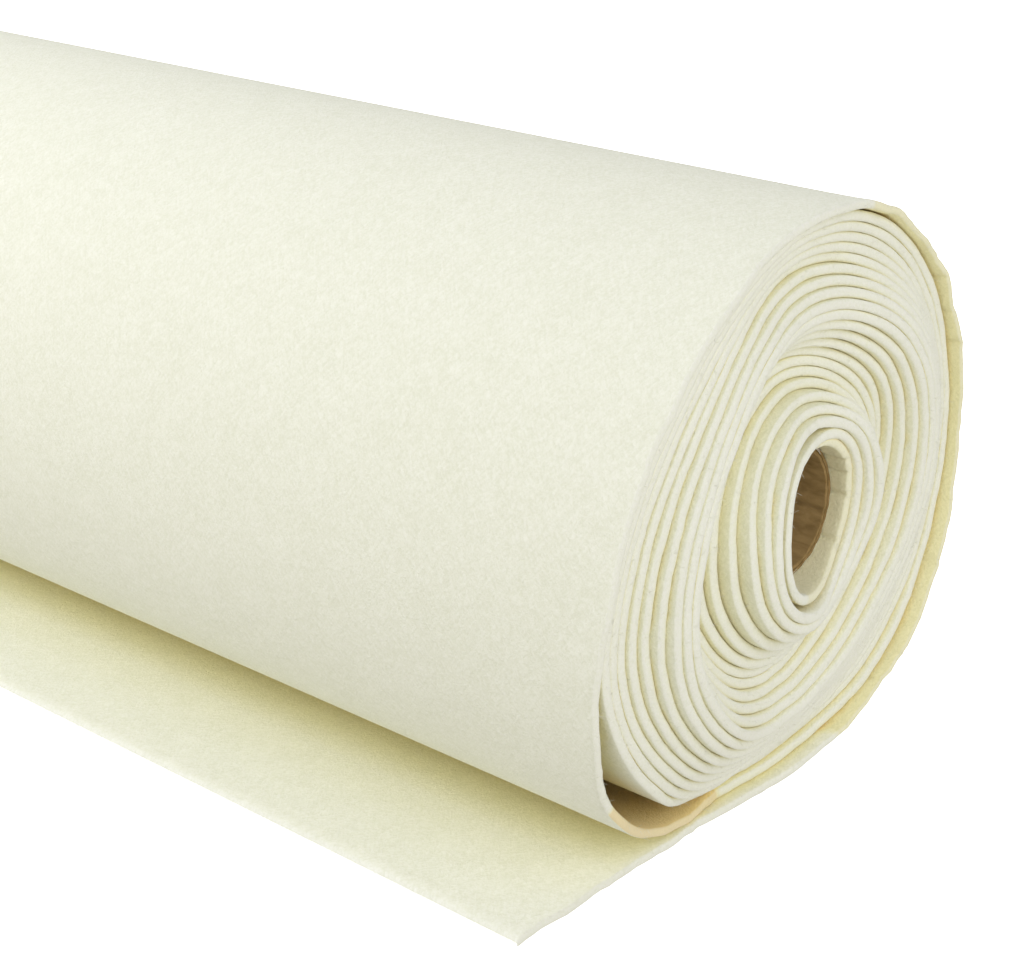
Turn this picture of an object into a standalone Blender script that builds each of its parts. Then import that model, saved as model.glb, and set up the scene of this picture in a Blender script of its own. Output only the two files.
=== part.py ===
"""Roll of thick cream felt on a cardboard core, lying on a flat surface.

The roll's axis runs along X. The end at +X is the one with the uneven, telescoped turns, the
loose end of the felt lies out towards -Y, and the surface that it lies on is z = 0. The felt comes
in flat from -Y, runs under the roll, up its back, over the top and down its front, and winds on
inwards to the core.

A place along the winding is given in laps: 0 is under the roll, 0.25 at the back, 0.5 on top,
0.75 at the front, 1 under the roll again, and so on to the inner end of the felt. Directions
around the section are in degrees, from 0 at the back, over 90 on top and 180 at the front, to
270 at the floor.
"""
import math

import bmesh
import bpy

# Felt, in metres
FELT_THICKNESS = 0.0030
FELT_WIDTH = 0.900
LAP_COUNT = 22.4
STEPS_PER_LAP = 40

# Wound section, in metres
OUTER_RADIUS = 0.1015
FIRST_PITCH = 0.0035
FLAT_SPOT_DEPTH = 0.0016
CORE_CENTRE_Y = 0.0025
CORE_CENTRE_Z = 0.1060
PIECE_GAP = 0.0003

# Cardboard tube, in metres
TUBE_INNER_RADIUS = 0.0190
TUBE_WALL = 0.0025
TUBE_LENGTH = 0.876
TUBE_REACH = -0.0040
TUBE_SIDES = 48

# The first laps of felt lie on the tube, and the next lap steps over their inner end
STEP_CLEARANCE = 0.0004
STEP_LAPS = 0.14

# How far the cut edge stands out along +X, in millimetres: a row for a lap, counted from the top
# of the roll, and a column for each eighth of the way around the section
REACH_TABLE = (
    # lap   back   45    top   135  front  225  floor  315
    (0.0, (-4.0, -0.5, 6.5, 11.5, 7.5, -11.0, -20.0, -5.5)),
    (1.0, (-8.5, -3.5, 3.5, 10.0, 6.0, -3.0, -27.0, -12.0)),
    (3.0, (-6.0, -3.0, 0.5, 8.5, 5.0, -2.0, -19.0, -11.5)),
    (5.0, (-2.5, 0.5, -2.5, 9.5, 7.5, 1.0, -14.0, -9.0)),
    (7.5, (2.5, 6.0, 2.0, 12.5, 14.0, 7.5, -7.0, -4.5)),
    (9.5, (3.5, 7.5, 4.5, 12.5, 14.5, 10.0, -2.0, -1.5)),
    (11.0, (0.5, 4.8, 1.0, 6.5, 7.5, 4.0, -4.0, -4.0)),
    (14.0, (-8.0, -2.0, -8.0, -5.0, -3.0, -3.0, -8.0, -12.0)),
    (16.5, (-2.0, -4.0, -6.5, -2.0, 2.0, 2.0, -3.0, -5.0)),
    (18.5, (7.0, 6.0, 1.0, 5.0, 11.0, 10.0, 5.0, 3.5)),
    (20.0, (4.5, 6.0, 4.5, 9.5, 14.0, 13.0, 10.0, 4.0)),
    (21.5, (1.5, 3.5, 4.5, 9.0, 12.0, 11.0, 7.0, 2.0)),
)

# Slack in the winding: each swell has its middle direction and its half width, in degrees, and
# rows of a lap and the shift inwards there, in millimetres (outwards where negative)
HANGING_WRAP_ROWS = ((1.0, 0.0), (1.6, 8.5), (LAP_COUNT, 0.0))
LOOSE_GROUP_ROWS = ((4.0, 0.0), (15.6, -1.8), (16.6, -1.2), (17.6, -0.5), (18.6, 0.2), (LAP_COUNT, 0.0))
SLACK_TABLE = (
    # middle  half width  rows
    (230.0, 52.0, HANGING_WRAP_ROWS),
    (205.0, 75.0, LOOSE_GROUP_ROWS),
)

# Colours, with the roughness that goes with them
FELT_COLOUR = (0.86, 0.85, 0.74, 1.0)
FELT_ROUGHNESS = 0.95
CARDBOARD_COLOUR = (0.42, 0.27, 0.14, 1.0)
CARDBOARD_ROUGHNESS = 0.85

MILLIMETRE = 0.001
FULL_TURN = 360.0
HALF_TURN = 180.0
START_DIRECTION = -90.0
TABLE_START_LAP = 0.5
FLOOR_RUN_LAPS = 0.2
SMOOTH_ANGLE = math.radians(30.0)


def clear_scene():
    """Remove every object, so that the script can be run again."""
    for item in list(bpy.data.objects):
        bpy.data.objects.remove(item, do_unlink=True)


def make_material(name, colour, roughness):
    """Return a plain Principled material."""
    material = bpy.data.materials.new(name)
    material.use_nodes = True
    shader = material.node_tree.nodes["Principled BSDF"]
    shader.inputs["Base Color"].default_value = colour
    shader.inputs["Roughness"].default_value = roughness
    shader.inputs["Metallic"].default_value = 0.0
    return material


def link_object(name, mesh_data, material):
    """Finish a bmesh as a named object, smooth but for its cut edges."""
    bmesh.ops.recalc_face_normals(mesh_data, faces=mesh_data.faces)
    mesh = bpy.data.meshes.new(name)
    mesh_data.to_mesh(mesh)
    mesh_data.free()
    mesh.materials.append(material)
    mesh.shade_smooth()
    mesh.set_sharp_from_angle(angle=SMOOTH_ANGLE)
    item = bpy.data.objects.new(name, mesh)
    bpy.context.scene.collection.objects.link(item)
    return item


def blend(start, end, share):
    """Return the value a share of the way from start to end."""
    return start + (end - start) * share


def between_rows(rows, lap):
    """Return the two rows around a lap, and the share of the way between them."""
    if lap <= rows[0][0]:
        return rows[0], rows[0], 0.0
    for before, after in zip(rows, rows[1:]):
        if lap <= after[0]:
            return before, after, (lap - before[0]) / (after[0] - before[0])
    return rows[-1], rows[-1], 0.0


def around_section(values, direction):
    """Return a smooth closed curve through evenly spaced values, at a direction in degrees."""
    count = len(values)
    place = (direction % FULL_TURN) / FULL_TURN * count
    first = int(place)
    share = place - first
    before, start, end, after = (values[(first + step) % count] for step in (-1, 0, 1, 2))
    linear = end - before
    square = 2.0 * before - 5.0 * start + 4.0 * end - after
    cube = 3.0 * (start - end) + after - before
    return start + 0.5 * share * (linear + share * (square + share * cube))


def direction_at(lap):
    """Return the direction in the section, in degrees, of a place along the winding."""
    return START_DIRECTION + FULL_TURN * lap


def edge_reach(lap):
    """Return how far the cut edge stands out along +X at a place along the winding."""
    before, after, share = between_rows(REACH_TABLE, lap - TABLE_START_LAP)
    direction = direction_at(lap)
    start = around_section(before[1], direction)
    end = around_section(after[1], direction)
    return blend(start, end, share) * MILLIMETRE


def inner_radius_of_winding():
    """Return the radius of the felt's outer face where it lies on the tube."""
    return TUBE_INNER_RADIUS + TUBE_WALL + PIECE_GAP + FELT_THICKNESS


def lap_radius(lap):
    """Return the radius of the felt's outer face, before slack and the flat spot."""
    on_tube = inner_radius_of_winding()
    last_spiral_lap = LAP_COUNT - 1.0
    over_step = on_tube + FELT_THICKNESS + STEP_CLEARANCE
    if lap <= 1.0:
        return OUTER_RADIUS - FIRST_PITCH * lap
    if lap <= last_spiral_lap:
        return blend(OUTER_RADIUS - FIRST_PITCH, over_step, (lap - 1.0) / (last_spiral_lap - 1.0))
    share = min(1.0, (lap - last_spiral_lap) / STEP_LAPS)
    eased = share * share * (3.0 - 2.0 * share)
    return blend(over_step, on_tube, eased)


def lap_centre(lap):
    """Return the centre (y, z) of a lap: the core sits high in the roll, because it sags."""
    share = max(0.0, lap - 1.0) / (LAP_COUNT - 1.0)
    outer_centre_z = OUTER_RADIUS - FLAT_SPOT_DEPTH
    return blend(0.0, CORE_CENTRE_Y, share), blend(outer_centre_z, CORE_CENTRE_Z, share)


def slack_shift(lap):
    """Return how far slack in the winding moves the felt inwards."""
    total = 0.0
    for middle, half_width, rows in SLACK_TABLE:
        turn_from_middle = (direction_at(lap) - middle + HALF_TURN) % FULL_TURN - HALF_TURN
        if abs(turn_from_middle) < half_width:
            swell = 0.5 + 0.5 * math.cos(math.pi * turn_from_middle / half_width)
            before, after, share = between_rows(rows, lap)
            total += swell * blend(before[1], after[1], share) * MILLIMETRE
    return total


def felt_point(lap, depth):
    """Return (y, z) of the felt at a lap and a depth under its outer face."""
    centre_y, centre_z = lap_centre(lap)
    radius = lap_radius(lap) - depth
    angle = math.radians(direction_at(lap))
    slack_radius = radius - slack_shift(lap)
    y = centre_y + slack_radius * math.cos(angle)
    z = centre_z + slack_radius * math.sin(angle)
    if lap < FLOOR_RUN_LAPS:
        lowest = depth
    else:
        lowest = centre_z - radius + FLAT_SPOT_DEPTH * (1.0 - lap / LAP_COUNT)
    return y, max(z, lowest)


def lap_stations():
    """Return the laps at which the winding has a cross-section."""
    steps = round(LAP_COUNT * STEPS_PER_LAP)
    return [LAP_COUNT * step / steps for step in range(steps + 1)]


def end_plane_x():
    """Return the x that the reach is measured from, which centres the part along X."""
    reaches = [edge_reach(lap) for lap in lap_stations()]
    return 0.5 * (FELT_WIDTH - min(reaches) - max(reaches))


def back_of_roll():
    """Return the largest y of the roll, which the loose end's front edge mirrors."""
    return max(felt_point(lap, 0.0)[0] for lap in lap_stations())


def build_felt_roll(material):
    """Wind the felt: one strip whose width is constant, so that its far edge follows its near one."""
    mesh_data = bmesh.new()
    near_plane = end_plane_x()
    sections = []
    for lap in lap_stations():
        near = near_plane + edge_reach(lap)
        far = near - FELT_WIDTH
        outer = felt_point(lap, 0.0)
        inner = felt_point(lap, FELT_THICKNESS)
        corners = ((near, *outer), (near, *inner), (far, *inner), (far, *outer))
        sections.append([mesh_data.verts.new(corner) for corner in corners])
    for section, following in zip(sections, sections[1:]):
        for side in range(4):
            other = (side + 1) % 4
            corners = (section[side], section[other], following[other], following[side])
            mesh_data.faces.new(corners)
    mesh_data.faces.new(sections[0])
    mesh_data.faces.new(reversed(sections[-1]))
    return link_object("felt_roll", mesh_data, material)


def build_loose_end(material):
    """Lay the flat sheet that comes out from under the roll."""
    near = end_plane_x() + edge_reach(0.0)
    front = -back_of_roll()
    rear = felt_point(0.0, 0.0)[0] - PIECE_GAP
    mesh_data = bmesh.new()
    bmesh.ops.create_cube(mesh_data, size=1.0)
    bmesh.ops.scale(mesh_data, vec=(FELT_WIDTH, rear - front, FELT_THICKNESS), verts=mesh_data.verts)
    middle = (near - 0.5 * FELT_WIDTH, 0.5 * (front + rear), 0.5 * FELT_THICKNESS)
    bmesh.ops.translate(mesh_data, vec=middle, verts=mesh_data.verts)
    return link_object("loose_end", mesh_data, material)


def build_core_tube(material):
    """Make the open cardboard tube in the middle of the roll."""
    near = end_plane_x() + TUBE_REACH
    mesh_data = bmesh.new()
    rings = []
    for x in (near, near - TUBE_LENGTH):
        for radius in (TUBE_INNER_RADIUS + TUBE_WALL, TUBE_INNER_RADIUS):
            ring = []
            for side in range(TUBE_SIDES):
                angle = 2.0 * math.pi * side / TUBE_SIDES
                y = CORE_CENTRE_Y + radius * math.cos(angle)
                z = CORE_CENTRE_Z + radius * math.sin(angle)
                ring.append(mesh_data.verts.new((x, y, z)))
            rings.append(ring)
    near_outer, near_inner, far_outer, far_inner = rings
    for one, other in (
        (near_outer, near_inner),
        (near_inner, far_inner),
        (far_inner, far_outer),
        (far_outer, near_outer),
    ):
        for side in range(TUBE_SIDES):
            after = (side + 1) % TUBE_SIDES
            mesh_data.faces.new((one[side], one[after], other[after], other[side]))
    return link_object("core_tube", mesh_data, material)


def main():
    """Build the three solids of the part."""
    clear_scene()
    felt = make_material("felt", FELT_COLOUR, FELT_ROUGHNESS)
    cardboard = make_material("cardboard", CARDBOARD_COLOUR, CARDBOARD_ROUGHNESS)
    build_felt_roll(felt)
    build_loose_end(felt)
    build_core_tube(cardboard)


main()
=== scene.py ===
"""Roll of thick cream felt on a cardboard tube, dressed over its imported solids.

The roll's axis runs along X, and the end at +X is the telescoped one that the camera sees. A place
along the winding is given in laps: 0 is under the roll, 0.25 at the back, 0.5 on top, 0.75 at the
front, 1 under the roll again, and so on inwards to the tube. Directions around the section are in
degrees, from 0 at the back, over 90 on top and 180 at the front, to 270 at the floor.
"""
from __future__ import annotations

import bisect
import enum
import logging
import math
import random
from dataclasses import dataclass, field

import bmesh
import bpy
from mathutils import Matrix, Vector, noise
from mathutils.bvhtree import BVHTree


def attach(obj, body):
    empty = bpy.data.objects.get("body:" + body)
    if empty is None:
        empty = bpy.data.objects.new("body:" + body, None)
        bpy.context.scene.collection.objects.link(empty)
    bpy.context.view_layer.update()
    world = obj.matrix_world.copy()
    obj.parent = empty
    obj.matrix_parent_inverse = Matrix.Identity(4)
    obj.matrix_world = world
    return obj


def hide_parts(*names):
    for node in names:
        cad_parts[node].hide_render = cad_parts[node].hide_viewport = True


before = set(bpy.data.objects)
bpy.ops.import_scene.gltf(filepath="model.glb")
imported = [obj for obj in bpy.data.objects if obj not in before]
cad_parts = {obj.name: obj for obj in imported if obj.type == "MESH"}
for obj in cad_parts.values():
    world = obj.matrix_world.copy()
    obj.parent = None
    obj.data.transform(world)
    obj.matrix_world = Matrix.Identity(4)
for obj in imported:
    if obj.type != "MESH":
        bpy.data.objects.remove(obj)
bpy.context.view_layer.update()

LOG = logging.getLogger("felt_roll")
ROOT_BODY = "root"
MILLIMETRE = 0.001
FULL_TURN = 360.0
HALF_TURN = 180.0

Colour = tuple[float, float, float, float]
Rows = tuple[tuple[float, float], ...]


class Slot(enum.Enum):
    """The record's material slots."""

    FELT = "felt"
    CORE = "core"


class Side(enum.Enum):
    """Which part of the felt's cross-section a point is on."""

    OUTER = "outer"
    INNER = "inner"
    RIM = "rim"


def blend(start: float, end: float, share: float) -> float:
    """Return the value a share of the way from start to end."""
    return start + (end - start) * share


def between_rows(rows: tuple, lap: float) -> tuple:
    """Find the two rows around a lap.

    Args:
        rows: Rows that start with a lap, in rising order.
        lap: The place along the winding.

    Returns:
        The row before, the row after, and the share of the way between them.
    """
    if lap <= rows[0][0]:
        return rows[0], rows[0], 0.0
    place = bisect.bisect_left(rows, lap, key=lambda row: row[0])
    if place >= len(rows):
        return rows[-1], rows[-1], 0.0
    before, after = rows[place - 1], rows[place]
    return before, after, (lap - before[0]) / (after[0] - before[0])


def read_rows(rows: Rows, lap: float) -> float:
    """Read a table of one value for each lap, with straight lines between its rows.

    Args:
        rows: Rows of a lap and its value, in rising order.
        lap: The place along the winding.

    Returns:
        The value there.
    """
    before, after, share = between_rows(rows, lap)
    return blend(before[1], after[1], share)


def around_section(values: tuple[float, ...], direction: float) -> float:
    """Read a smooth closed curve through evenly spaced values.

    Args:
        values: One value for each equal step around the section, from the back.
        direction: The direction in degrees.

    Returns:
        The value of the curve in that direction.
    """
    count = len(values)
    place = (direction % FULL_TURN) / FULL_TURN * count
    first = int(place)
    share = place - first
    before, start, end, after = (values[(first + step) % count] for step in (-1, 0, 1, 2))
    linear = end - before
    square = 2.0 * before - 5.0 * start + 4.0 * end - after
    cube = 3.0 * (start - end) + after - before
    return start + 0.5 * share * (linear + share * (square + share * cube))


@dataclass(frozen=True)
class Winding:
    """The path of the felt, with the sizes that the solids have, in metres."""

    thickness: float = 0.0030
    width: float = 0.900
    laps: float = 22.4
    outer_radius: float = 0.1015
    first_pitch: float = 0.0035
    flat_spot_depth: float = 0.0016
    core_centre: tuple[float, float] = (0.0025, 0.1060)
    on_tube_radius: float = 0.0248
    step_clearance: float = 0.0004
    step_laps: float = 0.14
    floor_run_laps: float = 0.2
    start_direction: float = -90.0
    table_start_lap: float = 0.5
    steps_per_lap: int = 40
    reach_table: tuple = (
        # lap   back   45    top   135  front  225  floor  315
        (0.0, (-4.0, -0.5, 6.5, 11.5, 7.5, -11.0, -20.0, -5.5)),
        (1.0, (-8.5, -3.5, 3.5, 10.0, 6.0, -3.0, -27.0, -12.0)),
        (3.0, (-6.0, -3.0, 0.5, 8.5, 5.0, -2.0, -19.0, -11.5)),
        (5.0, (-2.5, 0.5, -2.5, 9.5, 7.5, 1.0, -14.0, -9.0)),
        (7.5, (2.5, 6.0, 2.0, 12.5, 14.0, 7.5, -7.0, -4.5)),
        (9.5, (3.5, 7.5, 4.5, 12.5, 14.5, 10.0, -2.0, -1.5)),
        (11.0, (0.5, 4.8, 1.0, 6.5, 7.5, 4.0, -4.0, -4.0)),
        (14.0, (-8.0, -2.0, -8.0, -5.0, -3.0, -3.0, -8.0, -12.0)),
        (16.5, (-2.0, -4.0, -6.5, -2.0, 2.0, 2.0, -3.0, -5.0)),
        (18.5, (7.0, 6.0, 1.0, 5.0, 11.0, 10.0, 5.0, 3.5)),
        (20.0, (4.5, 6.0, 4.5, 9.5, 14.0, 13.0, 10.0, 4.0)),
        (21.5, (1.5, 3.5, 4.5, 9.0, 12.0, 11.0, 7.0, 2.0)),
    )
    # each zone's middle direction and half width, then its rows of lap and millimetres inwards
    hanging_zone: tuple[float, float] = (230.0, 52.0)
    hanging_wrap: Rows = ((1.0, 0.0), (1.6, 8.5), (22.4, 0.0))
    loose_zone: tuple[float, float] = (205.0, 75.0)
    loose_group: Rows = ((4.0, 0.0), (15.6, -1.8), (16.6, -1.2), (17.6, -0.5), (18.6, 0.2), (22.4, 0.0))

    def direction(self, lap: float) -> float:
        """Return the direction in the section, in degrees, of a place along the winding."""
        return self.start_direction + FULL_TURN * lap

    def reach(self, lap: float) -> float:
        """Find how far the cut edge stands out.

        Args:
            lap: The place along the winding.

        Returns:
            The reach along +X, in metres.
        """
        before, after, share = between_rows(self.reach_table, lap - self.table_start_lap)
        direction = self.direction(lap)
        start = around_section(before[1], direction)
        end = around_section(after[1], direction)
        return blend(start, end, share) * MILLIMETRE

    def near_plane(self) -> float:
        """Find the x that reaches are measured from, which centres the roll along X.

        Returns:
            The x in metres.
        """
        steps = round(self.laps * self.steps_per_lap)
        reaches = [self.reach(self.laps * step / steps) for step in range(steps + 1)]
        return 0.5 * (self.width - min(reaches) - max(reaches))

    def radius(self, lap: float) -> float:
        """Find the radius of the felt's outer face, before slack and the flat spot.

        Args:
            lap: The place along the winding.

        Returns:
            The radius in metres.
        """
        last_spiral_lap = self.laps - 1.0
        over_step = self.on_tube_radius + self.thickness + self.step_clearance
        if lap <= 1.0:
            return self.outer_radius - self.first_pitch * lap
        if lap <= last_spiral_lap:
            share = (lap - 1.0) / (last_spiral_lap - 1.0)
            return blend(self.outer_radius - self.first_pitch, over_step, share)
        share = min(1.0, (lap - last_spiral_lap) / self.step_laps)
        eased = share * share * (3.0 - 2.0 * share)
        return blend(over_step, self.on_tube_radius, eased)

    def centre(self, lap: float) -> tuple[float, float]:
        """Find the centre that a turn is wound around.

        Args:
            lap: The place along the winding.

        Returns:
            The centre's y and z.
        """
        share = max(0.0, lap - 1.0) / (self.laps - 1.0)
        outer_centre_z = self.outer_radius - self.flat_spot_depth
        return blend(0.0, self.core_centre[0], share), blend(outer_centre_z, self.core_centre[1], share)

    def slack(self, lap: float) -> float:
        """Find how far slack in the winding moves the felt inwards.

        Args:
            lap: The place along the winding.

        Returns:
            The move in metres.
        """
        total = 0.0
        zones = ((*self.hanging_zone, self.hanging_wrap), (*self.loose_zone, self.loose_group))
        for middle, half_width, rows in zones:
            turn = (self.direction(lap) - middle + HALF_TURN) % FULL_TURN - HALF_TURN
            if abs(turn) < half_width:
                swell = 0.5 + 0.5 * math.cos(math.pi * turn / half_width)
                total += swell * read_rows(rows, lap) * MILLIMETRE
        return total

    def point(self, lap: float, depth: float) -> tuple[float, float]:
        """Find a point of the felt's cross-section.

        Args:
            lap: The place along the winding.
            depth: The depth under the outer face.

        Returns:
            The point's y and z.
        """
        centre_y, centre_z = self.centre(lap)
        radius = self.radius(lap) - depth
        angle = math.radians(self.direction(lap))
        slack_radius = radius - self.slack(lap)
        y = centre_y + slack_radius * math.cos(angle)
        z = centre_z + slack_radius * math.sin(angle)
        if lap < self.floor_run_laps:
            lowest = depth
        else:
            lowest = centre_z - radius + self.flat_spot_depth * (1.0 - lap / self.laps)
        return y, max(z, lowest)


@dataclass(frozen=True)
class FeltFinish:
    """Matt needled felt: cream, with slanting fibres, and painted shade, olive or golden, where cloth faces
    cloth.
    """

    name: str = "felt_finish"
    cream: Colour = (0.880, 0.885, 0.755, 1.0)
    pale: Colour = (0.985, 0.985, 0.895, 1.0)
    cut_edge: Colour = (0.930, 0.925, 0.840, 1.0)
    white: Colour = (1.0, 1.0, 1.0, 1.0)
    outer_face: Colour = (0.935, 0.937, 0.905, 1.0)
    roughness: float = 0.95
    sheen: float = 0.15
    sheen_roughness: float = 0.6
    specular: float = 0.15
    # share by which the painted shade is weakened on the cut edge
    rim_shade_weakening: float = 0.30
    streak_angles: tuple[float, float] = (37.0, -33.0)
    streak_size: tuple[float, float] = (0.0009, 0.0042)
    mottle_scale: float = 75.0
    mottle_share: float = 0.20
    fibre_scale: float = 1100.0
    fibre_share: float = 0.42
    speck_stops: tuple[float, float] = (0.41, 0.59)
    cut_stops: tuple[float, float] = (0.30, 0.62)
    # strength, and height in metres
    mottle_relief: tuple[float, float] = (0.25, 0.0012)
    streak_relief: tuple[float, float] = (0.45, 0.0006)
    fibre_relief: tuple[float, float] = (0.65, 0.0004)
    # painted shade: olive tints by openness, which multiply the felt's colour, from narrow gaps to the open
    olive_shade_tints: tuple[tuple[float, Colour], ...] = (
        (0.00, (0.80, 0.74, 0.52, 1.0)),
        (0.10, (0.95, 0.88, 0.64, 1.0)),
        (0.25, (0.98, 0.93, 0.73, 1.0)),
        (0.50, (0.99, 0.975, 0.87, 1.0)),
        (0.80, (1.0, 1.0, 0.975, 1.0)),
        (1.00, (1.0, 1.0, 1.0, 1.0)),
    )
    # painted shade: golden tints by openness, for the crease and the deepest gaps
    golden_shade_tints: tuple[tuple[float, Colour], ...] = (
        (0.00, (0.94, 0.68, 0.30, 1.0)),
        (0.10, (1.0, 0.87, 0.50, 1.0)),
        (0.25, (1.0, 0.95, 0.68, 1.0)),
        (0.50, (1.0, 0.985, 0.90, 1.0)),
        (0.80, (1.0, 1.0, 0.985, 1.0)),
        (1.00, (1.0, 1.0, 1.0, 1.0)),
    )

    def build(self) -> bpy.types.Material:
        """Build the felt's material.

        Returns:
            The material.
        """
        graph = NodeGraph(self.name)
        shader = graph.shader
        shader.inputs["Roughness"].default_value = self.roughness
        shader.inputs["Sheen Weight"].default_value = self.sheen
        shader.inputs["Sheen Roughness"].default_value = self.sheen_roughness
        shader.inputs["Specular IOR Level"].default_value = self.specular
        place = graph.add("ShaderNodeTexCoord").outputs["Object"]
        streaks = self.build_streaks(graph)
        mottle = graph.noise(place, scale=self.mottle_scale, detail=4.0, roughness=0.6, distortion=0.3)
        fibre = graph.noise(place, scale=self.fibre_scale, detail=3.0, roughness=0.6, distortion=0.8)
        grain = graph.blended(graph.blended(streaks, mottle, self.mottle_share), fibre, self.fibre_share)
        speck = graph.ramp(grain, tuple(zip(self.speck_stops, (self.cream, self.pale))))
        # painted shade: the colour is darkened and yellowed where the openness is low
        openness = graph.attribute("openness")
        golden_shade = graph.attribute("golden_shade")
        face = graph.ramp(graph.attribute("inner"), ((0.0, self.outer_face), (1.0, self.white)))
        olive_shade = graph.ramp(openness, self.olive_shade_tints)
        painted_shade = graph.mixed(golden_shade, olive_shade, graph.ramp(openness, self.golden_shade_tints))
        face_colour = graph.multiplied(graph.multiplied(speck, face), painted_shade)
        # the cut edge gets the same painted shade, weakened
        olive_rim_shade = graph.ramp(openness, self.rim_shade_tints(self.olive_shade_tints))
        rim_painted_shade = graph.mixed(golden_shade, olive_rim_shade, graph.ramp(openness, self.rim_shade_tints(self.golden_shade_tints)))
        rim = graph.ramp(fibre, tuple(zip(self.cut_stops, (self.cream, self.cut_edge))))
        rim_colour = graph.multiplied(rim_painted_shade, rim)
        colour = graph.mixed(graph.attribute("cut"), face_colour, rim_colour)
        graph.link(colour, shader.inputs["Base Color"])
        relief = graph.bump(mottle, *self.mottle_relief)
        relief = graph.bump(streaks, *self.streak_relief, normal=relief)
        relief = graph.bump(fibre, *self.fibre_relief, normal=relief)
        graph.link(relief, shader.inputs["Normal"])
        return graph.material

    def build_streaks(self, graph: NodeGraph) -> bpy.types.NodeSocket:
        """Lay the felt's two sets of slanting fibres over its length and width.

        Args:
            graph: The material's graph.

        Returns:
            The socket of the streaks, from 0 to 1.
        """
        cloth = graph.add("ShaderNodeUVMap", uv_map="cloth").outputs["UV"]
        layers = []
        for angle in self.streak_angles:
            turned = graph.turned(cloth, angle, self.streak_size)
            layers.append(graph.noise(turned, scale=1.0, detail=3.0, roughness=0.55, distortion=0.6))
        return graph.blended(layers[0], layers[1], 0.5)

    def rim_shade_tints(self, face_tints: tuple[tuple[float, Colour], ...]) -> tuple[tuple[float, Colour], ...]:
        """Weaken a face's painted shade tints for the cut edge.

        Args:
            face_tints: The face's painted shade tints, by openness.

        Returns:
            The cut edge's painted shade tints, by openness.
        """
        tints = []
        for openness, painted_shade in face_tints:
            tints.append((openness, tuple(blend(part, 1.0, self.rim_shade_weakening) for part in painted_shade)))
        return tuple(tints)


@dataclass(frozen=True)
class FibreFinish:
    """The cream of single loose fibres."""

    name: str = "fibre_finish"
    cream: Colour = (0.84, 0.83, 0.70, 1.0)
    pale: Colour = (0.96, 0.96, 0.90, 1.0)
    stops: tuple[float, float] = (0.35, 0.65)
    roughness: float = 0.8
    specular: float = 0.2
    shade_scale: float = 300.0

    def build(self) -> bpy.types.Material:
        """Build the fibres' material.

        Returns:
            The material.
        """
        graph = NodeGraph(self.name)
        graph.shader.inputs["Roughness"].default_value = self.roughness
        graph.shader.inputs["Specular IOR Level"].default_value = self.specular
        place = graph.add("ShaderNodeTexCoord").outputs["Object"]
        shade = graph.noise(place, scale=self.shade_scale, detail=2.0, roughness=0.5, distortion=0.0)
        colour = graph.ramp(shade, tuple(zip(self.stops, (self.cream, self.pale))))
        graph.link(colour, graph.shader.inputs["Base Color"])
        return graph.material


@dataclass(frozen=True)
class BoardFinish:
    """Brown spiral-wound board, matt, with faint fibre streaks."""

    name: str = "board_finish"
    light: Colour = (0.36, 0.24, 0.10, 1.0)
    dark: Colour = (0.22, 0.14, 0.05, 1.0)
    stops: tuple[float, float] = (0.3, 0.7)
    roughness: float = 0.9
    specular: float = 0.25
    streak_scales: tuple[float, float, float] = (160.0, 420.0, 420.0)
    fleck_scale: float = 1400.0
    # strength, and height in metres
    fleck_relief: tuple[float, float] = (0.25, 0.0002)

    def build(self) -> bpy.types.Material:
        """Build the board's material.

        Returns:
            The material.
        """
        graph = NodeGraph(self.name)
        shader = graph.shader
        shader.inputs["Roughness"].default_value = self.roughness
        shader.inputs["Specular IOR Level"].default_value = self.specular
        place = graph.add("ShaderNodeTexCoord").outputs["Object"]
        streak_place = graph.stretched(place, self.streak_scales)
        streak = graph.noise(streak_place, scale=1.0, detail=4.0, roughness=0.6, distortion=0.5)
        fleck = graph.noise(place, scale=self.fleck_scale, detail=2.0, roughness=0.6, distortion=0.0)
        colour = graph.ramp(streak, tuple(zip(self.stops, (self.dark, self.light))))
        graph.link(colour, shader.inputs["Base Color"])
        graph.link(graph.bump(fleck, *self.fleck_relief), shader.inputs["Normal"])
        return graph.material


@dataclass(frozen=True)
class PlainFinish:
    """A plain matt surface for the floor."""

    name: str
    colour: Colour
    roughness: float = 0.9
    glow: float = 0.0

    def build(self) -> bpy.types.Material:
        """Build the plain material.

        Returns:
            The material.
        """
        graph = NodeGraph(self.name)
        graph.shader.inputs["Base Color"].default_value = self.colour
        graph.shader.inputs["Roughness"].default_value = self.roughness
        graph.shader.inputs["Emission Color"].default_value = self.colour
        graph.shader.inputs["Emission Strength"].default_value = self.glow
        return graph.material


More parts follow.
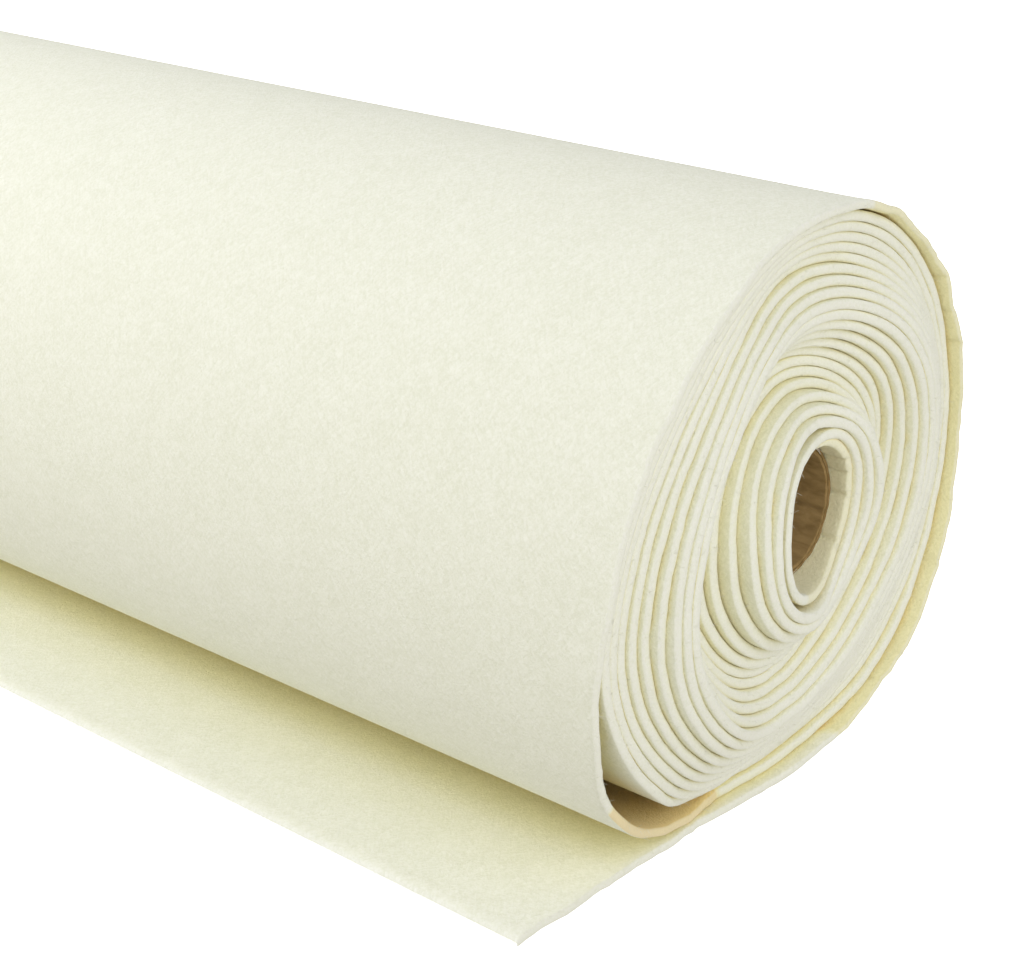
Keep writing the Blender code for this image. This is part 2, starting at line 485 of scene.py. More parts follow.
class NodeGraph:
    """A small helper that builds one material's nodes."""

    def __init__(self, name: str) -> None:
        """Start a material with its Principled shader."""
        self.material = bpy.data.materials.new(name)
        self.material.use_nodes = True
        self.tree = self.material.node_tree
        self.shader = self.tree.nodes["Principled BSDF"]

    def add(self, kind: str, **settings: object) -> bpy.types.Node:
        """Add a node.

        Args:
            kind: The node's type.
            settings: The values of the node's own properties.

        Returns:
            The node.
        """
        node = self.tree.nodes.new(kind)
        for name, value in settings.items():
            setattr(node, name, value)
        return node

    def link(self, source: bpy.types.NodeSocket, target: bpy.types.NodeSocket) -> None:
        """Link two sockets."""
        self.tree.links.new(source, target)

    def attribute(self, name: str) -> bpy.types.NodeSocket:
        """Read a number that the mesh stores at its points."""
        return self.add("ShaderNodeAttribute", attribute_name=name).outputs["Fac"]

    def stretched(
        self, place: bpy.types.NodeSocket, scale: tuple[float, float, float]
    ) -> bpy.types.NodeSocket:
        """Scale a place along each axis.

        Args:
            place: The socket that gives the place.
            scale: The factor along each axis.

        Returns:
            The socket of the new place.
        """
        mapping = self.add("ShaderNodeMapping")
        mapping.inputs["Scale"].default_value = scale
        self.link(place, mapping.inputs["Vector"])
        return mapping.outputs["Vector"]

    def noise(
        self, place: bpy.types.NodeSocket, scale: float, detail: float, roughness: float, distortion: float
    ) -> bpy.types.NodeSocket:
        """Add fractal noise.

        Args:
            place: The socket that gives the place.
            scale: Lumps for each metre, or for each unit of the place.
            detail: The number of finer layers.
            roughness: How strong each finer layer is.
            distortion: How much the lumps curl.

        Returns:
            The socket of the noise's value.
        """
        node = self.add("ShaderNodeTexNoise")
        node.inputs["Scale"].default_value = scale
        node.inputs["Detail"].default_value = detail
        node.inputs["Roughness"].default_value = roughness
        node.inputs["Distortion"].default_value = distortion
        self.link(place, node.inputs["Vector"])
        return node.outputs["Fac"]

    def turned(
        self, place: bpy.types.NodeSocket, angle: float, size: tuple[float, float]
    ) -> bpy.types.NodeSocket:
        """Turn a flat place and divide it by a size.

        Args:
            place: The socket that gives the place.
            angle: The turn in degrees.
            size: The size, in the place's units, that becomes one unit each way.

        Returns:
            The socket of the new place.
        """
        mapping = self.add("ShaderNodeMapping", vector_type="TEXTURE")
        mapping.inputs["Rotation"].default_value = (0.0, 0.0, math.radians(angle))
        mapping.inputs["Scale"].default_value = (size[0], size[1], 1.0)
        self.link(place, mapping.inputs["Vector"])
        return mapping.outputs["Vector"]

    def ramp(
        self, value: bpy.types.NodeSocket, stops: tuple[tuple[float, Colour], ...]
    ) -> bpy.types.NodeSocket:
        """Turn a value into a colour.

        Args:
            value: The socket of the value.
            stops: Two or more values, each with its colour.

        Returns:
            The socket of the colour.
        """
        node = self.add("ShaderNodeValToRGB")
        elements = node.color_ramp.elements
        for position, _ in stops[1:-1]:
            elements.new(position)
        for element, (position, colour) in zip(elements, stops):
            element.position = position
            element.color = colour
        self.link(value, node.inputs["Fac"])
        return node.outputs["Color"]

    def blended(
        self, first: bpy.types.NodeSocket, second: bpy.types.NodeSocket, share: float
    ) -> bpy.types.NodeSocket:
        """Mix two values.

        Args:
            first: The socket of the first value.
            second: The socket of the second value.
            share: The second value's share.

        Returns:
            The socket of the mixed value.
        """
        node = self.add("ShaderNodeMix", data_type="FLOAT")
        node.inputs[0].default_value = share
        self.link(first, node.inputs[2])
        self.link(second, node.inputs[3])
        return node.outputs[0]

    def multiplied(self, first: bpy.types.NodeSocket, second: bpy.types.NodeSocket) -> bpy.types.NodeSocket:
        """Multiply two colours.

        Args:
            first: The socket of the first colour.
            second: The socket of the second colour.

        Returns:
            The socket of the product.
        """
        node = self.add("ShaderNodeMix", data_type="RGBA", blend_type="MULTIPLY")
        node.inputs[0].default_value = 1.0
        self.link(first, node.inputs[6])
        self.link(second, node.inputs[7])
        return node.outputs[2]

    def mixed(
        self, share: bpy.types.NodeSocket, first: bpy.types.NodeSocket, second: bpy.types.NodeSocket
    ) -> bpy.types.NodeSocket:
        """Mix two colours.

        Args:
            share: The socket of the second colour's share.
            first: The socket of the first colour.
            second: The socket of the second colour.

        Returns:
            The socket of the mixed colour.
        """
        node = self.add("ShaderNodeMix", data_type="RGBA")
        self.link(share, node.inputs[0])
        self.link(first, node.inputs[6])
        self.link(second, node.inputs[7])
        return node.outputs[2]

    def bump(
        self,
        height: bpy.types.NodeSocket,
        strength: float,
        distance: float,
        normal: bpy.types.NodeSocket | None = None,
    ) -> bpy.types.NodeSocket:
        """Add relief.

        Args:
            height: The socket of the height, from 0 to 1.
            strength: The share of the relief that shows.
            distance: The height in metres that 1 stands for.
            normal: The relief that this one lies on, if any.

        Returns:
            The socket of the new normal.
        """
        node = self.add("ShaderNodeBump")
        node.inputs["Strength"].default_value = strength
        node.inputs["Distance"].default_value = distance
        self.link(height, node.inputs["Height"])
        if normal is not None:
            self.link(normal, node.inputs["Normal"])
        return node.outputs["Normal"]


def link_piece(
    name: str, mesh_data: bmesh.types.BMesh, material: bpy.types.Material
) -> bpy.types.Object:
    """Turn a bmesh into a piece that rides on the roll's body.

    Args:
        name: The piece's name.
        mesh_data: The finished bmesh, which is freed.
        material: The piece's material.

    Returns:
        The new object.
    """
    mesh = bpy.data.meshes.new(name)
    mesh_data.to_mesh(mesh)
    mesh_data.free()
    mesh.materials.append(material)
    mesh.shade_smooth()
    piece = bpy.data.objects.new(name, mesh)
    bpy.context.scene.collection.objects.link(piece)
    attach(piece, ROOT_BODY)
    return piece


@dataclass(frozen=True)
class SectionPoint:
    """A point on the felt's cross-section, across its width."""

    across: float
    depth: float
    side: Side
    girth: float


@dataclass(frozen=True)
class Station:
    """A cross-section of the felt, at a place along its length."""

    lap: float
    along: float
    squeeze: float


@dataclass
class FeltStrip:
    """One length of felt: the loose end, and all its turns on the tube."""

    winding: Winding
    loose_length: float = 0.1003
    station_step: float = 0.0034
    rim_round: float = 0.0012
    near_columns: tuple[float, ...] = (0.0007, 0.0028, 0.0062, 0.0110, 0.0190, 0.0340, 0.0700)
    far_columns: tuple[float, ...] = (0.0013, 0.0060, 0.0150, 0.0400)
    rim_points: Rows = ((0.00030, 0.00020), (0.0, 0.0009), (0.0, 0.0021), (0.00030, 0.00280))
    end_points: Rows = ((0.0, 0.50), (0.0005, 0.85), (0.0012, 1.0))
    reach_noise: Rows = ((0.0, 1.0), (1.0, 0.8), (1.3, 0.35), (22.4, 0.35))
    wavy_length: float = 0.016
    wavy_share: float = 1.3
    wavy_seed: tuple[float, float] = (0.0, 3.7)
    ragged_length: float = 0.0045
    ragged_share: float = 0.6
    ragged_seed: tuple[float, float] = (5.1, 0.0)
    wave_fade: float = 0.030
    edge_lifts: Rows = (
        # lap   outwards, in millimetres
        (0.086, 0.0),
        (0.098, -0.8),
        (0.114, -0.8),
        (0.134, 0.5),
        (0.150, -0.1),
        (0.184, 1.5),
        (0.205, 0.3),
        (0.240, -0.2),
        (0.274, -0.8),
        (0.328, 0.3),
        (0.340, -0.1),
        (0.354, 1.1),
        (0.378, 0.0),
        (0.402, -0.8),
        (0.414, -0.5),
        (0.432, 0.6),
        (0.442, -0.2),
        (0.462, 0.5),
        (0.480, -0.2),
        (0.505, 0.0),
    )
    lift_fade: float = 0.0075
    edge_thinning: Rows = (
        # lap   thinner, in millimetres
        (0.04, 0.0),
        (0.10, 1.2),
        (0.40, 1.2),
        (0.46, 0.5),
        (0.58, 0.5),
        (0.72, 0.3),
        (0.90, 0.0),
    )
    folds: Rows = (
        # lap   depth, in millimetres
        (0.115, 0.6),
        (0.133, 0.5),
        (0.184, 0.6),
        (0.311, 0.7),
        (0.331, 0.5),
        (0.357, 0.6),
        (22.150, 1.0),
        (22.251, 0.9),
        (22.308, 0.7),
        (22.349, 0.9),
    )
    fold_width: float = 0.0016
    fold_steps: tuple[int, ...] = (-2, -1, 0, 1, 2)
    fold_margin: float = 2.6
    tongue_laps: float = 0.10
    thinnest_share: float = 0.08
    turn_gap: float = 0.00012
    fullest_swell: float = 0.00065
    open_gap: tuple[float, float] = (0.0012, 0.0024)
    openness_reach: float = 0.070
    openness_band: float = 0.070
    openness_rays: int = 24
    openness_start: float = 0.0004
    buried_depth: float = 0.0075
    # painted shade: near-end stretches of inner face and cut edge whose openness is capped, so their
    # painted shade is stronger
    painted_shade_spans: tuple[tuple[float, float, float], ...] = (
        # from lap, to lap, most open
        (0.08, 0.46, 0.24),
        (0.86, 1.00, 0.04),
        (21.95, 22.60, 0.30),
    )
    golden_shade_laps: Rows = (
        # lap  golden share of the painted shade
        (0.46, 1.0),
        (0.56, 0.0),
        (0.78, 0.0),
        (0.86, 1.0),
        (1.00, 1.0),
        (1.10, 0.2),
        (1.70, 0.2),
        (1.80, 1.0),
        (1.98, 1.0),
        (2.08, 0.0),
        (21.60, 0.0),
        (22.00, 0.6),
    )
    stations: list[Station] = field(default_factory=list)
    section: list[SectionPoint] = field(default_factory=list)

    def length(self) -> float:
        """Return the felt's whole length."""
        return self.stations[-1].along

    def lay_out_section(self) -> None:
        """List the points around the cross-section, from the near cut edge over the outer face."""
        width, thickness = self.winding.width, self.winding.thickness
        far_columns = [width - across for across in reversed(self.far_columns)]
        columns = [*self.near_columns, 0.5 * width, *far_columns]
        places = [(across, 0.0, Side.OUTER) for across in columns]
        places += [(width - across, depth, Side.RIM) for across, depth in self.rim_points]
        places += [(across, thickness, Side.INNER) for across in reversed(columns)]
        places += [(across, thickness - depth, Side.RIM) for across, depth in self.rim_points]
        places.append(places[0])
        girth = 0.0
        previous = places[0]
        for across, depth, side in places:
            girth += math.hypot(across - previous[0], depth - previous[1])
            self.section.append(SectionPoint(across, depth, side, girth))
            previous = (across, depth, side)

    def lay_out_stations(self) -> None:
        """List the cross-sections, a step apart, crowded at both ends so that these are rounded."""
        winding = self.winding
        for offset, share in self.end_points:
            self.stations.append(Station(offset - self.loose_length, offset, share))
        flat_steps = int((self.loose_length - self.rim_round) / self.station_step)
        for step in range(1, flat_steps):
            along = self.rim_round + (self.loose_length - self.rim_round) * step / flat_steps
            self.stations.append(Station(along - self.loose_length, along, 1.0))
        along = self.loose_length
        middle_depth = 0.5 * winding.thickness
        last = winding.point(0.0, middle_depth)
        for lap in self.wound_laps():
            here = winding.point(lap, middle_depth)
            along += math.hypot(here[0] - last[0], here[1] - last[1])
            self.stations.append(Station(lap, along, 1.0))
            last = here
        lap_per_metre = 1.0 / (2.0 * math.pi * winding.on_tube_radius)
        tip = winding.laps + self.tongue_laps
        end = winding.point(tip, middle_depth)
        along += math.hypot(end[0] - last[0], end[1] - last[1])
        for offset, share in reversed(self.end_points):
            self.stations.append(Station(tip - offset * lap_per_metre, along - offset, share))

    def wound_laps(self) -> list[float]:
        """Space out the wound cross-sections, with extra ones at each fold.

        Returns:
            Their laps, in rising order.
        """
        winding = self.winding
        laps = []
        lap = 0.0
        while lap < winding.laps + self.tongue_laps - self.end_clearance():
            laps.append(lap)
            lap += self.station_step / (2.0 * math.pi * winding.radius(lap))
        for fold, _ in self.folds:
            step = 0.5 * self.fold_width / (2.0 * math.pi * winding.radius(fold))
            laps = [lap for lap in laps if abs(lap - fold) > self.fold_margin * step]
            laps += [fold + count * step for count in self.fold_steps]
        return sorted(laps)

    def end_clearance(self) -> float:
        """Return how many laps the rounded inner end takes up."""
        return 2.0 * self.rim_round / (2.0 * math.pi * self.winding.on_tube_radius)

    def edge_fade(self, across: float, fade: float) -> float:
        """Return 1 at either cut edge, falling to 0 well inside the cloth."""
        inside = min(across, self.winding.width - across)
        return math.exp(-inside / fade)

    def cut_waviness(self, station: Station) -> float:
        """Find how far the cut edge strays from its smooth line.

        Args:
            station: The cross-section.

        Returns:
            The distance along +X, in metres.
        """
        strength = read_rows(self.reach_noise, station.lap) * MILLIMETRE
        wavy = noise.noise(Vector((station.along / self.wavy_length, *self.wavy_seed)))
        ragged = noise.noise(Vector((station.along / self.ragged_length, *self.ragged_seed)))
        return strength * (self.wavy_share * wavy + self.ragged_share * ragged)

    def gap_inside(self, lap: float) -> float:
        """Find the gap between a turn's inner face and the next turn.

        Args:
            lap: The place along the winding.

        Returns:
            The gap in metres.
        """
        if lap < 0.0 or lap > self.winding.laps - 1.0:
            return 0.0
        inner = self.winding.point(lap, self.winding.thickness)
        following = self.winding.point(lap + 1.0, 0.0)
        return math.hypot(inner[0] - following[0], inner[1] - following[1])

    def swell_inside(self, lap: float) -> float:
        """Find how far the soft cloth swells into the narrow gap inside a turn.

        Args:
            lap: The place along the winding.

        Returns:
            The swell in metres.
        """
        gap = self.gap_inside(lap)
        closed, opened = self.open_gap
        share = min(1.0, max(0.0, (opened - gap) / (opened - closed)))
        return share * min(self.fullest_swell, max(0.0, gap - self.turn_gap))

    def fold_trough(self, lap: float) -> float:
        """Find the depth of the fold marks on the inner face.

        Args:
            lap: The place along the winding.

        Returns:
            The depth in metres.
        """
        radius = self.winding.radius(max(lap, 0.0))
        depth = 0.0
        for fold, deepest in self.folds:
            offset = abs(lap - fold) * 2.0 * math.pi * radius
            if offset < self.fold_width:
                fall = 0.5 + 0.5 * math.cos(math.pi * offset / self.fold_width)
                depth += deepest * MILLIMETRE * fall
        return depth

    def tongue_share(self, lap: float) -> float:
        """Find how thin the felt's inner end is pressed between the tube and the turn over it.

        Args:
            lap: The place along the winding.

        Returns:
            The share of its thickness that the felt keeps.
        """
        winding = self.winding
        if lap < winding.laps:
            return 1.0
        room = winding.radius(lap - 1.0) - winding.on_tube_radius - self.turn_gap
        return min(1.0, max(self.thinnest_share, room / winding.thickness))

    def thinning(self, lap: float) -> float:
        """Return how much thinner the outer wrap is at its near edge, in metres."""
        return read_rows(self.edge_thinning, lap) * MILLIMETRE

    def lift(self, lap: float) -> float:
        """Return how far the outer wrap's near edge stands away from the roll, in metres."""
        return read_rows(self.edge_lifts, lap) * MILLIMETRE

    def lay_out_relief(self) -> list[tuple[float, ...]]:
        """Work out the relief of the cloth's faces.

        Returns:
            For each station its outer and inner swell, its fold's depth and its lift.
        """
        relief = []
        for station in self.stations:
            lap = station.lap
            outer = 0.5 * self.swell_inside(lap - 1.0) if lap >= 1.0 else 0.0
            inner = 0.5 * self.swell_inside(lap)
            relief.append((outer, inner, self.fold_trough(lap), self.lift(lap)))
        return relief

    def place(
        self, station: Station, point: SectionPoint, relief: tuple[float, ...], near_plane: float
    ) -> Vector:
        """Find the place of a point of the cross-section.

        Args:
            station: The cross-section.
            point: The point on it.
            relief: The station's outer and inner swell, its fold's depth and its lift.
            near_plane: The x that reaches are measured from.

        Returns:
            The place.
        """
        winding = self.winding
        middle = 0.5 * winding.thickness
        outer_swell, inner_swell, fold, lift = relief
        share = point.depth / winding.thickness
        if station.lap < 0.0:
            y, z = station.lap, point.depth * station.squeeze
            reach = winding.reach(0.0)
        else:
            depth = middle + (point.depth - middle) * station.squeeze
            depth = winding.thickness - (winding.thickness - depth) * self.tongue_share(station.lap)
            near_share = math.exp(-point.across / self.lift_fade)
            depth += share * (inner_swell - fold) - (1.0 - share) * outer_swell - lift * near_share
            depth -= share * near_share * self.thinning(station.lap)
            y, z = winding.point(station.lap, depth)
            reach = winding.reach(station.lap)
        stray = self.edge_fade(point.across, self.wave_fade) * self.cut_waviness(station)
        return Vector((near_plane + reach - point.across + stray, y, z))

    def lay_grid(self, mesh_data: bmesh.types.BMesh) -> tuple[dict, dict]:
        """Lay a flat grid with a row for each station and a column for each point of the section.

        Args:
            mesh_data: The empty bmesh, with its layers.

        Returns:
            Each vertex's column and each vertex's row.
        """
        columns, rows = len(self.section), len(self.stations)
        bmesh.ops.create_grid(mesh_data, x_segments=columns - 1, y_segments=rows - 1, size=0.5)
        column_of, row_of = {}, {}
        for vertex in mesh_data.verts:
            column_of[vertex] = round((vertex.co.x + 0.5) * (columns - 1))
            row_of[vertex] = round((vertex.co.y + 0.5) * (rows - 1))
        cloth = mesh_data.loops.layers.uv["cloth"]
        for face in mesh_data.faces:
            for loop in face.loops:
                girth = self.section[column_of[loop.vert]].girth
                loop[cloth].uv = (girth, self.stations[row_of[loop.vert]].along)
        return column_of, row_of

    def close_grid(self, mesh_data: bmesh.types.BMesh, column_of: dict, row_of: dict) -> None:
        """Join the wound grid's first and last columns and cap its two ends.

        Args:
            mesh_data: The wound grid.
            column_of: Each vertex's column.
            row_of: Each vertex's row.
        """
        last_column = len(self.section) - 1
        seam = [vertex for vertex in mesh_data.verts if column_of[vertex] in (0, last_column)]
        ends = [edge for edge in mesh_data.edges if edge.is_boundary]
        caps = [edge for edge in ends if row_of[edge.verts[0]] == row_of[edge.verts[1]]]
        bmesh.ops.remove_doubles(mesh_data, verts=seam, dist=0.01 * MILLIMETRE)
        caps = [edge for edge in caps if edge.is_valid]
        bmesh.ops.edgeloop_fill(mesh_data, edges=caps)
        bmesh.ops.recalc_face_normals(mesh_data, faces=mesh_data.faces)

    def build(self, finish: FeltFinish) -> bpy.types.Object:
        """Wind a flat grid into the strip.

        Args:
            finish: The felt's finish.

        Returns:
            The felt.
        """
        self.lay_out_section()
        self.lay_out_stations()
        near_plane = self.winding.near_plane()
        mesh_data = bmesh.new()
        mesh_data.loops.layers.uv.new("cloth")
        cut = mesh_data.verts.layers.float.new("cut")
        inner = mesh_data.verts.layers.float.new("inner")
        golden_shade = mesh_data.verts.layers.float.new("golden_shade")
        shade = mesh_data.verts.layers.float.new("shade")
        column_of, row_of = self.lay_grid(mesh_data)
        relief = self.lay_out_relief()
        for vertex in mesh_data.verts:
            row, point = row_of[vertex], self.section[column_of[vertex]]
            station = self.stations[row]
            vertex.co = self.place(station, point, relief[row], near_plane)
            vertex[cut] = 1.0 if point.side is Side.RIM else 0.0
            vertex[inner] = 0.0 if point.side is Side.OUTER else 1.0
            # painted shade masks: the golden share and the openness cap
            vertex[golden_shade] = self.golden_shade_share(station.lap)
            vertex[shade] = self.shade_limit(station, point)
        self.close_grid(mesh_data, column_of, row_of)
        self.measure_openness(mesh_data, near_plane)
        piece = link_piece("felt_cloth", mesh_data, finish.build())
        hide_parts("felt_roll", "loose_end")
        self.length()
        return piece

    def golden_shade_share(self, lap: float) -> float:
        """Return how much of the painted shade at a lap is golden, rather than olive."""
        return read_rows(self.golden_shade_laps, lap)

    def shade_limit(self, station: Station, point: SectionPoint) -> float:
        """Limit the openness of some points at the near end, to strengthen their painted shade.

        Args:
            station: The cross-section.
            point: The point on it.

        Returns:
            The most open that the point may count as.
        """
        if point.side is Side.OUTER or point.across > 0.5 * self.winding.width:
            return 1.0
        for start, end, limit in self.painted_shade_spans:
            if start < station.lap < end:
                return limit
        return 1.0

    def measure_openness(self, mesh_data: bmesh.types.BMesh, near_plane: float) -> None:
        """Store how open each point of the cloth is, from 0 in a narrow gap to 1 in the open, for the
        felt's painted shade.

        Args:
            mesh_data: The closed strip.
            near_plane: The x that the reach is measured from.
        """
        layer = mesh_data.verts.layers.float.new("openness")
        shade = mesh_data.verts.layers.float["shade"]
        mesh_data.normal_update()
        tree = BVHTree.FromBMesh(mesh_data)
        rays = self.hemisphere()
        near_limit = near_plane - self.openness_band
        far_limit = near_plane - self.winding.width + self.openness_band
        outer_limit = self.winding.outer_radius - self.buried_depth
        axis_z = self.winding.outer_radius - self.winding.flat_spot_depth
        for vertex in mesh_data.verts:
            # points buried inside the roll get openness 0, the deepest painted shade
            inside = far_limit < vertex.co.x < near_limit
            if inside and math.hypot(vertex.co.y, vertex.co.z - axis_z) < outer_limit:
                vertex[layer] = 0.0
                continue
            turn = Vector((0.0, 0.0, 1.0)).rotation_difference(vertex.normal).to_matrix()
            start = vertex.co + vertex.normal * self.openness_start
            free = 0.0
            for ray in rays:
                distance = tree.ray_cast(start, turn @ ray, self.openness_reach)[3]
                free += 1.0 if distance is None else distance / self.openness_reach
            vertex[layer] = min(free / len(rays), vertex[shade])

    def hemisphere(self) -> list[Vector]:
        """Spread directions over a half sphere, crowded around its pole.

        Returns:
            The directions, as unit vectors around +Z.
        """
        golden_angle = math.pi * (3.0 - math.sqrt(5.0))
        rays = []
        for index in range(self.openness_rays):
            spread = math.sqrt((index + 0.5) / self.openness_rays)
            angle = golden_angle * index
            height = math.sqrt(1.0 - spread * spread)
            rays.append(Vector((spread * math.cos(angle), spread * math.sin(angle), height)))
        return rays


@dataclass
class StrayFibres:
    """Fine loose fibres that stand out of the felt's two cut edges."""

    strip: FeltStrip
    batches: int = 52
    batch_size: int = 100
    seed: int = 7
    lengths: tuple[float, float] = (0.0010, 0.0030)
    root_radius: float = 0.00005
    tip_radius: float = 0.00002
    rooted: float = 0.0003
    spread: float = 0.8
    floor_clearance: float = 0.0002
    sides: int = 3

    def plant(self, mesh_data: bmesh.types.BMesh, base: Vector, lean: Vector, length: float) -> None:
        """Add one fibre.

        Args:
            mesh_data: The bmesh that takes it.
            base: Its lower end, just inside the cloth.
            lean: Its direction.
            length: Its length.
        """
        middle = base + lean * (0.5 * length)
        turn = lean.to_track_quat("Z", "Y").to_matrix().to_4x4()
        bmesh.ops.create_cone(
            mesh_data,
            cap_ends=True,
            segments=self.sides,
            radius1=self.root_radius,
            radius2=self.tip_radius,
            depth=length,
            matrix=Matrix.Translation(middle) @ turn,
        )

    def build(self, near_plane: float, finish: FibreFinish) -> bpy.types.Object:
        """Plant the fibres along the cut edges, in batches, because a large bmesh grows slowly.

        Args:
            near_plane: The x that reaches are measured from.
            finish: The fibres' finish.

        Returns:
            The fibres, as one joined mesh.
        """
        draw = random.Random(self.seed)
        half_width = 0.5 * self.strip.winding.width
        rim = [point for point in self.strip.section if point.side is Side.RIM]
        relief = self.strip.lay_out_relief()
        mesh_data = bmesh.new()
        for _ in range(self.batches):
            batch = bmesh.new()
            for _ in range(self.batch_size):
                row = draw.randrange(len(self.strip.stations))
                point = draw.choice(rim)
                root = self.strip.place(self.strip.stations[row], point, relief[row], near_plane)
                outward = 1.0 if point.across < half_width else -1.0
                sideways = (draw.gauss(0.0, self.spread), draw.gauss(0.0, self.spread))
                lean = Vector((outward, *sideways)).normalized()
                length = draw.uniform(*self.lengths)
                base = root - lean * self.rooted
                if min(base.z, base.z + lean.z * length) > self.floor_clearance:
                    self.plant(batch, base, lean, length)
            planted = bpy.data.meshes.new("batch")
            batch.to_mesh(planted)
            batch.free()
            mesh_data.from_mesh(planted)
            bpy.data.meshes.remove(planted)
        return link_piece("stray_fibres", mesh_data, finish.build())


@dataclass
class CoreTube:
    """The cardboard tube that the felt is wound on."""

    winding: Winding
    inner_radius: float = 0.0190
    wall: float = 0.0025
    length: float = 0.876
    reach: float = -0.0040
    sides: int = 96
    rim_profile: Rows = (
        # out from the bore and along the tube, in millimetres
        (0.0, -0.25),
        (0.15, 0.0),
        (1.0, 0.0),
        (1.15, -0.5),
        (1.35, -0.5),
        (1.5, 0.0),
        (2.35, 0.0),
        (2.5, -0.25),
    )
    rim_unevenness: float = 0.00035
    sharp_angle: float = 35.0

    def build(self, near_plane: float, finish: BoardFinish) -> bpy.types.Object:
        """Spin the tube's section around its axis.

        Args:
            near_plane: The x that reaches are measured from.
            finish: The board's finish.

        Returns:
            The tube.
        """
        near = near_plane + self.reach
        far = near - self.length
        centre_y, centre_z = self.winding.core_centre
        mesh_data = bmesh.new()
        outline = []
        for end, outward, rows in ((near, 1.0, self.rim_profile), (far, -1.0, self.rim_profile[::-1])):
            for step, along in rows:
                radius = self.inner_radius + step * MILLIMETRE
                place = (end + outward * along * MILLIMETRE, centre_y + radius, centre_z)
                outline.append(mesh_data.verts.new(place))
        for vertex, following in zip(outline, outline[1:] + outline[:1]):
            mesh_data.edges.new((vertex, following))
        bmesh.ops.spin(
            mesh_data,
            geom=mesh_data.verts[:] + mesh_data.edges[:],
            cent=(near, centre_y, centre_z),
            axis=(1.0, 0.0, 0.0),
            angle=2.0 * math.pi,
            steps=self.sides,
            use_merge=True,
            use_duplicate=False,
        )
        for vertex in mesh_data.verts:
            if vertex.co.x > near - MILLIMETRE:
                vertex.co.x += self.rim_unevenness * noise.noise(vertex.co / self.wall)
        bmesh.ops.recalc_face_normals(mesh_data, faces=mesh_data.faces)
        piece = link_piece("board_tube", mesh_data, finish.build())
        piece.data.set_sharp_from_angle(angle=math.radians(self.sharp_angle))
        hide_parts("core_tube")
        return piece


@dataclass(frozen=True)
class SoftLight:
    """A square soft light, with its place and target measured from the near plane."""

    name: str
    place: tuple[float, float, float]
    target: tuple[float, float, float]
    size: float
    power: float

    def build(self, origin: Vector) -> bpy.types.Object:
        """Add the light, facing its target.

        Args:
            origin: The point that its place and target are measured from.

        Returns:
            The light.
        """
        data = bpy.data.lights.new(self.name, "AREA")
        data.energy = self.power
        data.size = self.size
        light = bpy.data.objects.new(self.name, data)
        bpy.context.scene.collection.objects.link(light)
        place, target = origin + Vector(self.place), origin + Vector(self.target)
        light.location = place
        light.rotation_euler = (target - place).to_track_quat("-Z", "Y").to_euler()
        return light


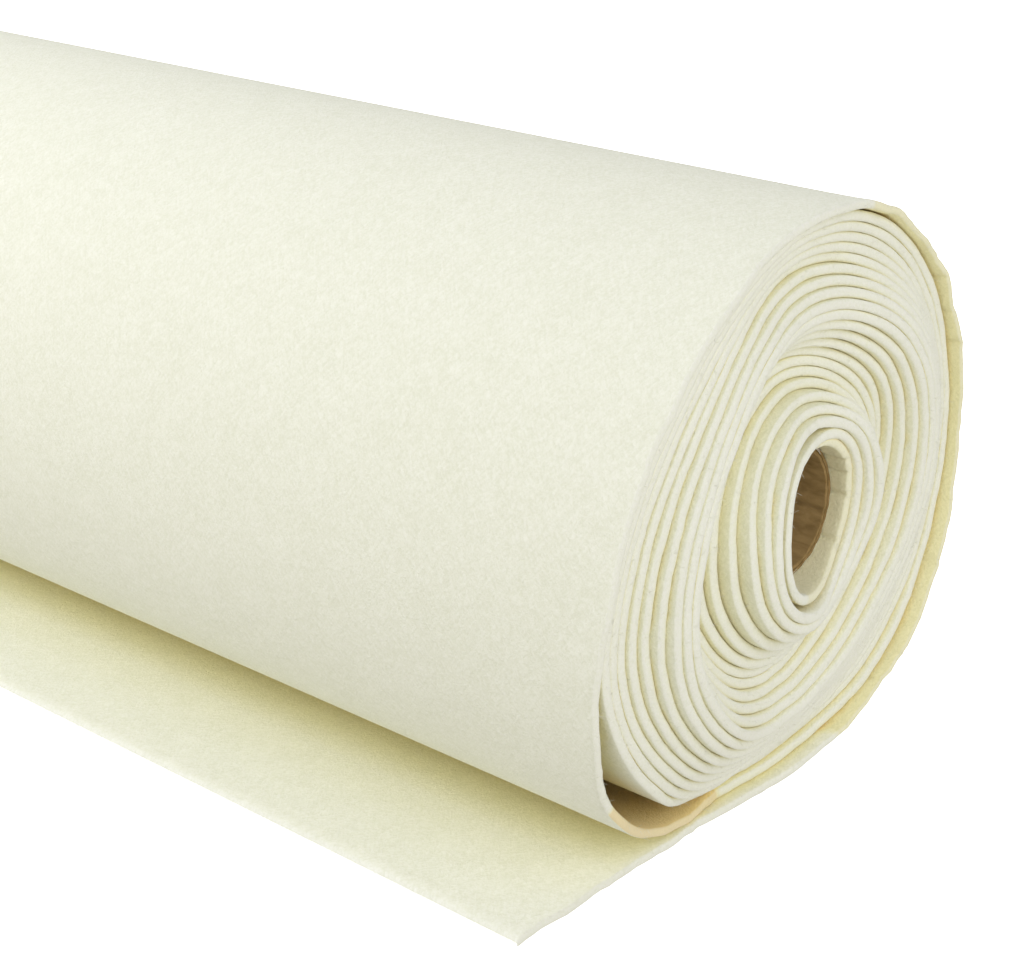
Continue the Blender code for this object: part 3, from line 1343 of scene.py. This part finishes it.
@dataclass(frozen=True)
class Studio:
    """A pale floor, soft light and the camera."""

    focal_pixels: float = 2199.0
    frame_width: int = 1024
    sensor_width: float = 36.0
    camera_place: tuple[float, float, float] = (0.3294, -0.4987, 0.3529)
    azimuth: float = 41.4
    pitch: float = 21.8
    floor_size: float = 30.0
    floor_colour: Colour = (0.93, 0.93, 0.93, 1.0)
    floor_glow: float = 1.2
    sky: float = 0.50
    bounce: float = 0.66
    bounce_colour: Colour = (1.0, 0.97, 0.87, 1.0)
    sky_colour: Colour = (1.0, 1.0, 1.0, 1.0)
    horizon: float = 0.08
    lights: tuple[SoftLight, ...] = (
        SoftLight("key", (-0.9, -0.7, 0.7), (-0.6, -0.05, 0.0), size=0.5, power=4.4),
        SoftLight("low", (-0.6, -1.5, 0.55), (-0.6, -0.05, 0.0), size=0.8, power=3.0),
        SoftLight("fill", (1.4, -0.5, 0.9), (0.0, 0.0, 0.1), size=1.2, power=11.5),
        SoftLight("top", (-0.75, 0.3, 1.3), (-0.6, -0.05, 0.0), size=0.7, power=2.5),
    )

    def build_floor(self) -> bpy.types.Object:
        """Lay the floor under the roll, hidden from the roll's own light and gloss.

        Returns:
            The floor.
        """
        mesh_data = bmesh.new()
        bmesh.ops.create_grid(mesh_data, x_segments=1, y_segments=1, size=0.5 * self.floor_size)
        mesh = bpy.data.meshes.new("floor")
        mesh_data.to_mesh(mesh)
        mesh_data.free()
        mesh.materials.append(PlainFinish("floor_finish", self.floor_colour, glow=self.floor_glow).build())
        floor = bpy.data.objects.new("floor", mesh)
        bpy.context.scene.collection.objects.link(floor)
        floor.visible_diffuse = False
        floor.visible_glossy = False
        floor.visible_shadow = False
        return floor

    def build_camera(self, near_plane: float) -> bpy.types.Object:
        """Set the camera at the photo's angle.

        Args:
            near_plane: The x that reaches are measured from.

        Returns:
            The camera.
        """
        data = bpy.data.cameras.new("camera")
        data.sensor_fit = "HORIZONTAL"
        data.sensor_width = self.sensor_width
        data.lens = self.focal_pixels / self.frame_width * self.sensor_width
        camera = bpy.data.objects.new("camera", data)
        bpy.context.scene.collection.objects.link(camera)
        x, y, z = self.camera_place
        camera.location = (near_plane + x, y, z)
        azimuth, pitch = math.radians(self.azimuth), math.radians(self.pitch)
        level = math.cos(pitch)
        aim = Vector((-math.sin(azimuth) * level, math.cos(azimuth) * level, -math.sin(pitch)))
        camera.rotation_euler = aim.to_track_quat("-Z", "Y").to_euler()
        bpy.context.scene.camera = camera
        return camera

    def build_level(self, tree: bpy.types.NodeTree, height: bpy.types.NodeSocket) -> bpy.types.Node:
        """Add a node that runs from just below the horizon to just above it.

        Args:
            tree: The world's nodes.
            height: The socket of a direction's height.

        Returns:
            The node, which gives 0 to 1 unless its range is set.
        """
        level = tree.nodes.new("ShaderNodeMapRange")
        level.inputs["From Min"].default_value = -self.horizon
        level.inputs["From Max"].default_value = self.horizon
        tree.links.new(height, level.inputs["Value"])
        return level

    def build_world(self) -> None:
        """Give the world one glow above the horizon and a warmer one below it."""
        world = bpy.data.worlds.new("studio")
        world.use_nodes = True
        tree = world.node_tree
        background = tree.nodes["Background"]
        direction = tree.nodes.new("ShaderNodeTexCoord")
        split = tree.nodes.new("ShaderNodeSeparateXYZ")
        tree.links.new(direction.outputs["Generated"], split.inputs["Vector"])
        strength = self.build_level(tree, split.outputs["Z"])
        strength.inputs["To Min"].default_value = self.bounce
        strength.inputs["To Max"].default_value = self.sky
        tree.links.new(strength.outputs["Result"], background.inputs["Strength"])
        above = self.build_level(tree, split.outputs["Z"])
        colour = tree.nodes.new("ShaderNodeMix")
        colour.data_type = "RGBA"
        colour.inputs[6].default_value = self.bounce_colour
        colour.inputs[7].default_value = self.sky_colour
        tree.links.new(above.outputs["Result"], colour.inputs[0])
        tree.links.new(colour.outputs[2], background.inputs["Color"])
        bpy.context.scene.world = world

    def build(self, near_plane: float) -> None:
        """Build the floor, the world, the lights and the camera.

        Args:
            near_plane: The x that reaches are measured from.
        """
        self.build_floor()
        self.build_world()
        for light in self.lights:
            light.build(Vector((near_plane, 0.0, 0.0)))
        self.build_camera(near_plane)


def main() -> None:
    """Build the roll's pieces, in order."""
    logging.basicConfig(level=logging.INFO, format="%(name)s: %(message)s")
    bpy.context.scene.view_settings.view_transform = "Standard"
    winding = Winding()
    strip = FeltStrip(winding)
    near_plane = winding.near_plane()
    Studio().build(near_plane)
    LOG.info("studio built")
    cloth = strip.build(FeltFinish())
    LOG.info("%s: %d faces, %.3f m long", cloth.name, len(cloth.data.polygons), strip.length())
    fibres = StrayFibres(strip).build(near_plane, FibreFinish())
    LOG.info("%s: %d faces", fibres.name, len(fibres.data.polygons))
    tube = CoreTube(winding).build(near_plane, BoardFinish())
    LOG.info("%s: %d faces", tube.name, len(tube.data.polygons))


if __name__ == "__main__":
    main()
